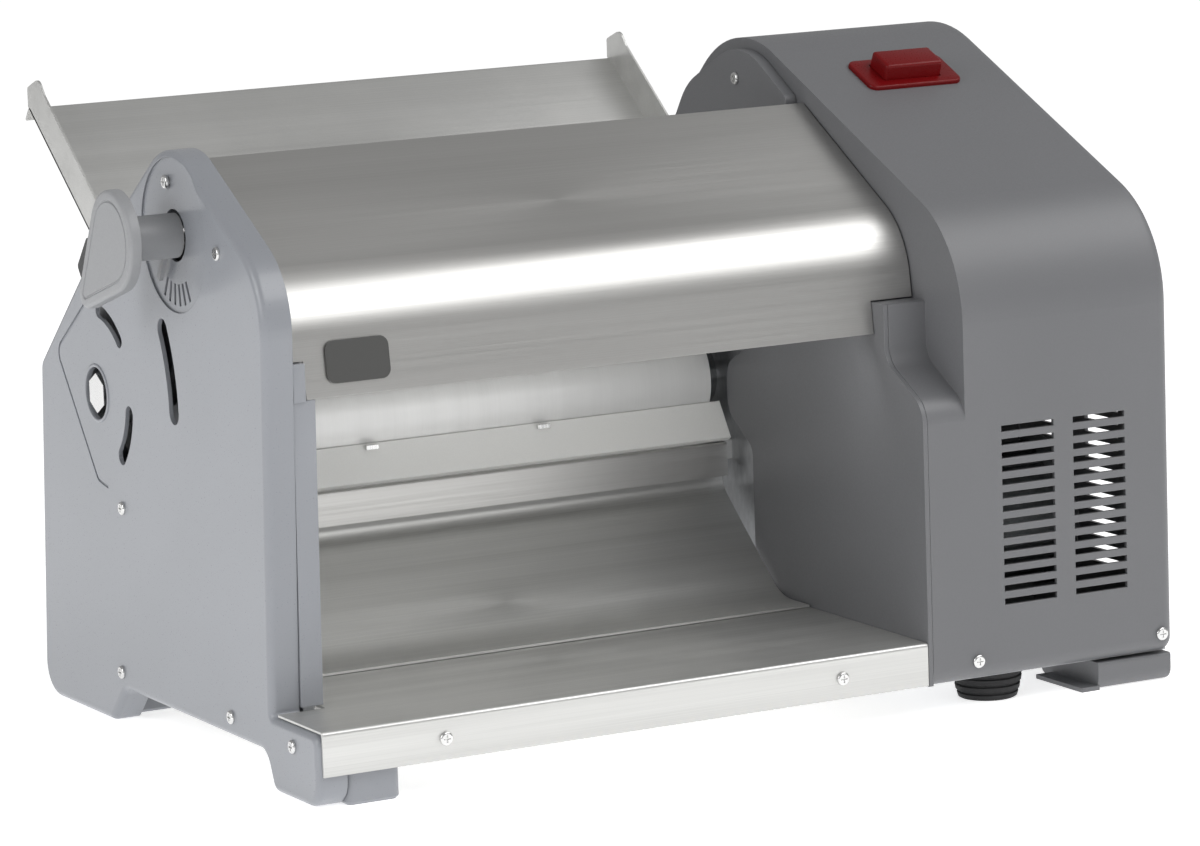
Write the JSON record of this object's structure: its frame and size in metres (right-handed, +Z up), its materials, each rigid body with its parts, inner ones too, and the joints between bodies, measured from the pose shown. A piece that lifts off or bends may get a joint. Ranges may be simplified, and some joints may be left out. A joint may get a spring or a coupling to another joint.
{
  "type": "bench dough sheeter",
  "caption": "Bench-top dough sheeter: driven roller pair under a lifting curved guard, feed tray behind, chute and tray in front, drive casing at one side.",
  "frame": {"origin": "middle of the machine's overall footprint, on the surface it stands on", "axes": "+X to the operator's right along the rollers, +Y from the front tray towards the feed tray, +Z up"},
  "size_m": [0.681, 0.4616, 0.4274],
  "materials": {
    "grey_plastic": "satin moulded mid grey",
    "dark_grey_plastic": "satin moulded dark grey",
    "zinc_steel": "zinc plated",
    "brushed_stainless": "brushed along the width",
    "cast_metal": "machined casting",
    "bright_steel": "bright plated",
    "satin_roller": "satin ground",
    "gear_steel": "oiled steel",
    "white_plastic": "food grade plastic",
    "lever_plastic": "satin moulded light grey",
    "black_rubber": "moulded rubber",
    "red_plastic": "gloss red",
    "black_plastic": "moulded black"
  },
  "bodies": {
    "frame": {"left_cover": "grey_plastic", "left_feet": "grey_plastic", "left_cheek": "grey_plastic", "left_side_plate": "zinc_steel", "right_cheek": "dark_grey_plastic", "right_side_plate": "zinc_steel", "left_lower_bearing": "cast_metal", "right_lower_bearing": "cast_metal", "bearing_bolts": "bright_steel", "drive_casing": "dark_grey_plastic", "gear_cap": "dark_grey_plastic", "base_plate": "zinc_steel", "foot_rail": "grey_plastic", "rubber_feet": "black_rubber", "discharge_tray": "brushed_stainless", "curved_chute": "brushed_stainless", "back_panel": "brushed_stainless", "tie_bars": "bright_steel", "scraper_bar": "brushed_stainless", "lower_scraper": "white_plastic", "scraper_clips": "bright_steel", "tray_pins": "bright_steel", "tray_brackets": "dark_grey_plastic", "guard_pins": "bright_steel", "cover_screws": "bright_steel", "switch_plate": "red_plastic", "switch_box": "black_plastic", "cable_gland": "black_plastic", "jack_stud": "bright_steel", "motor_shell": "cast_metal", "motor_ends": "cast_metal", "motor_bracket": "zinc_steel", "terminal_box": "black_plastic", "drive_belt": "black_rubber"},
    "gap_lever": {"lever_plate": "lever_plastic", "lever_hub": "lever_plastic", "cross_shaft": "bright_steel", "cams": "bright_steel"},
    "carriage": {"left_carriage": "cast_metal", "right_carriage": "cast_metal", "left_yoke": "cast_metal", "right_yoke": "cast_metal", "upper_scraper": "white_plastic"},
    "upper_roller": {"upper_sleeve": "satin_roller", "upper_shaft": "bright_steel", "upper_gear": "gear_steel"},
    "lower_roller": {"lower_sleeve": "satin_roller", "lower_shaft": "bright_steel", "lower_gear": "gear_steel", "drive_gear": "gear_steel"},
    "jackshaft": {"pinion": "gear_steel", "large_pulley": "gear_steel"},
    "motor_spindle": {"motor_rotor": "bright_steel", "motor_pulley": "gear_steel", "motor_fan": "black_plastic"},
    "guard": {"guard": "brushed_stainless", "guard_arms": "brushed_stainless", "badge": "black_plastic"},
    "feed_tray": {"feed_tray": "brushed_stainless"},
    "stop_button": {"stop_button": "red_plastic"}
  },
  "joints": [
    {"name": "gap_lever_turn", "type": "hinge", "parent": "frame", "child": "gap_lever", "pos_m": [-0.1965, -0.04259, 0.342], "axis": [-1, 0, 0], "range_deg": [0, 64]},
    {"name": "gap_slide", "type": "slide", "parent": "frame", "child": "carriage", "axis": [0, -0.615, 0.7885], "range_m": [0, 0.00721]},
    {"name": "upper_roller_spin", "type": "hinge", "parent": "carriage", "child": "upper_roller", "pos_m": [-0.1965, 0.02767, 0.25193], "axis": [1, 0, 0], "continuous": true},
    {"name": "lower_roller_spin", "type": "hinge", "parent": "frame", "child": "lower_roller", "pos_m": [-0.1965, 0.07441, 0.192], "axis": [1, 0, 0], "continuous": true},
    {"name": "jackshaft_spin", "type": "hinge", "parent": "frame", "child": "jackshaft", "pos_m": [-0.1965, -0.00659, 0.15277], "axis": [1, 0, 0], "continuous": true},
    {"name": "motor_spin", "type": "hinge", "parent": "frame", "child": "motor_spindle", "pos_m": [-0.1965, -0.11059, 0.10477], "axis": [1, 0, 0], "continuous": true},
    {"name": "guard_lift", "type": "hinge", "parent": "frame", "child": "guard", "pos_m": [-0.1965, -0.03559, 0.376], "axis": [-1, 0, 0], "range_deg": [0, 70]},
    {"name": "feed_tray_tilt", "type": "hinge", "parent": "frame", "child": "feed_tray", "pos_m": [-0.1965, 0.13941, 0.312], "axis": [1, 0, 0], "range_deg": [0, 30]},
    {"name": "stop_button_press", "type": "slide", "parent": "frame", "child": "stop_button", "axis": [0, 0.4116, -0.9114], "range_m": [0, 0.004], "stiffness_N_per_m": 900, "springref_m": -0.002}
  ],
  "couplings": [
    {"joint": "gap_lever_turn", "follows": "gap_slide", "rad_per_m": 154.99},
    {"joint": "upper_roller_spin", "follows": "lower_roller_spin", "ratio": -1},
    {"joint": "jackshaft_spin", "follows": "lower_roller_spin", "ratio": -3.5},
    {"joint": "motor_spin", "follows": "lower_roller_spin", "ratio": -9.5455}
  ]
}
